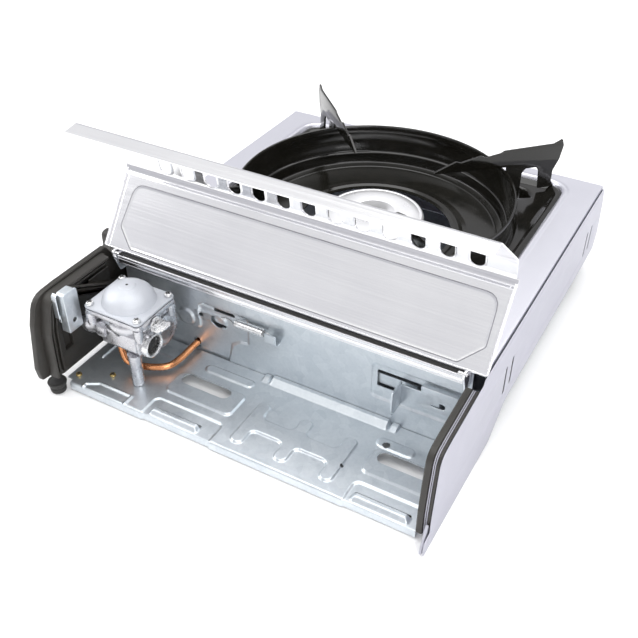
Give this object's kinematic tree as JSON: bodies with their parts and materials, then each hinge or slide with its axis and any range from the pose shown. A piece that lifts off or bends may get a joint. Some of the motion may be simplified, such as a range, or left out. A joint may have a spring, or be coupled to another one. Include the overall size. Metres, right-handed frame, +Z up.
{
  "type": "portable gas stove",
  "caption": "Flat cassette-style camping gas stove with one burner, lift-off drip pan and pot supports, and a can bay under a hinged lid, shown open.",
  "frame": {"origin": "on the table, under the middle of the whole stove's box with its lid open", "axes": "+X from the burner side to the can bay, -Y towards the front with the knob, +Z up"},
  "size_m": [0.3476, 0.3096, 0.1739],
  "materials": {
    "deck_steel": "satin stainless sheet",
    "silver_paint": "silver-lavender paint",
    "bright_steel": "bright brushed stainless",
    "hardware_steel": "plated steel",
    "zinc_sheet": "galvanised sheet",
    "cast_zinc": "die cast, as cast",
    "cover_zinc": "pressed and tumbled",
    "cap_aluminium": "turned, bright",
    "black_plastic": "fine texture",
    "black_enamel": "gloss enamel",
    "brass": "machined",
    "copper": "bright copper tube",
    "ceramic": "unglazed",
    "rubber": "moulded",
    "wire": "insulated lead"
  },
  "bodies": {
    "root": {"top_deck": "deck_steel", "back_panel": "silver_paint", "side_panel": "silver_paint", "hinge_lug_front": "hardware_steel", "hinge_lug_back": "hardware_steel", "hinge_pin_front": "hardware_steel", "hinge_pin_back": "hardware_steel", "cover_screw_1": "hardware_steel", "cover_screw_2": "hardware_steel", "cover_screw_3": "hardware_steel", "cover_screw_4": "hardware_steel", "latch_bracket": "hardware_steel", "regulator_spring": "hardware_steel", "return_spring": "hardware_steel", "burner_base": "zinc_sheet", "bay_floor": "zinc_sheet", "divider_wall": "zinc_sheet", "pusher_guide": "zinc_sheet", "spring_anchor": "zinc_sheet", "mixing_tube": "zinc_sheet", "burner_head": "cast_zinc", "gas_valve": "cast_zinc", "regulator_body": "cast_zinc", "can_socket": "cast_zinc", "support_post": "cast_zinc", "regulator_cover": "cover_zinc", "burner_cap": "cap_aluminium", "front_panel": "black_plastic", "rear_trim": "black_plastic", "igniter_body": "black_plastic", "gas_jet": "brass", "copper_tube": "copper", "electrode": "ceramic", "foot_front_burner": "rubber", "foot_rear_burner": "rubber", "foot_front_bay": "rubber", "foot_rear_bay": "rubber", "diaphragm": "rubber", "electrode_wire": "wire"},
    "lid": {"lid": "bright_steel"},
    "knob": {"control_knob": "black_plastic", "valve_spindle": "brass"},
    "igniter": {"igniter_plunger": "ceramic"},
    "lock_lever": {"lever_handle": "black_plastic", "lever_bracket": "zinc_sheet"},
    "can_pusher": {"pusher_slide": "zinc_sheet", "link_rod": "zinc_sheet"},
    "pan_set": {"drip_pan": "black_enamel", "windshield_ring": "black_enamel", "pot_support_1": "black_enamel", "pot_support_2": "black_enamel", "pot_support_3": "black_enamel", "pot_support_4": "black_enamel"}
  },
  "joints": [
    {"name": "lid_hinge", "type": "hinge", "parent": "root", "child": "lid", "pos_m": [0.0967, -0.00025, 0.078], "axis": [0, 1, 0], "range_deg": [0, 126]},
    {"name": "knob_turn", "type": "hinge", "parent": "root", "child": "knob", "pos_m": [0.0632, -0.14575, 0.049], "axis": [0, -1, 0], "range_deg": [0, 110]},
    {"name": "igniter_push", "type": "slide", "parent": "root", "child": "igniter", "axis": [0, 0, 1], "range_m": [0, 0.004]},
    {"name": "lever_slide", "type": "slide", "parent": "root", "child": "lock_lever", "axis": [0, 0, -1], "range_m": [0, 0.02]},
    {"name": "pusher_slide_y", "type": "slide", "parent": "root", "child": "can_pusher", "axis": [0, -1, 0], "range_m": [0, 0.0101]},
    {"name": "pan_lift", "type": "slide", "parent": "root", "child": "pan_set", "axis": [0, 0, 1], "range_m": [0, 0.005]}
  ],
  "couplings": [
    {"joint": "knob_turn", "follows": "igniter_push", "rad_per_m": 479.9},
    {"joint": "pusher_slide_y", "follows": "lever_slide", "ratio": 0.5}
  ]
}
